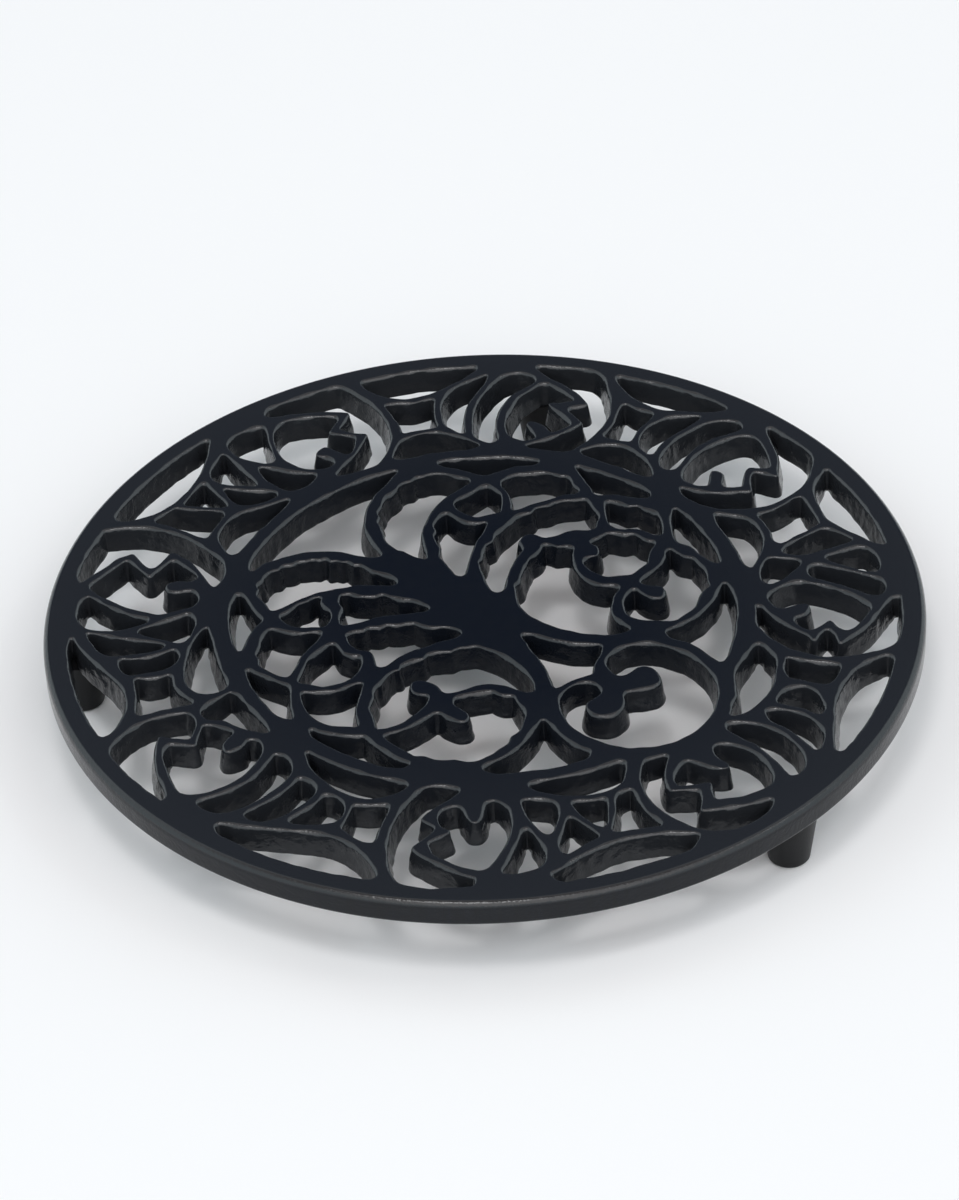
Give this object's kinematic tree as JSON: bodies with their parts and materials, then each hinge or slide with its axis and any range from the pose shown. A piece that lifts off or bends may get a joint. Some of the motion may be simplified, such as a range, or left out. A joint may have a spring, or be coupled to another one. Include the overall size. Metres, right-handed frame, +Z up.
{
  "type": "trivet",
  "caption": "Round openwork cast-iron trivet with a scrolling leaf border and a scrollwork medallion, flat on top and raised on small tapered rubber feet.",
  "frame": {"origin": "on the table, under the middle of the round plate", "axes": "+Z up; -Y is the side that faces the viewer in the picture, +X is to the viewer's right"},
  "size_m": [0.2, 0.2, 0.02],
  "materials": {
    "iron": "black satin enamel",
    "foot_rubber": "matte"
  },
  "bodies": {
    "root": {"openwork": "iron", "rim": "iron", "peg_right": "iron", "peg_left": "iron", "peg_back": "iron", "foot_right": "foot_rubber", "foot_left": "foot_rubber", "foot_back": "foot_rubber"}
  },
  "joints": []
}
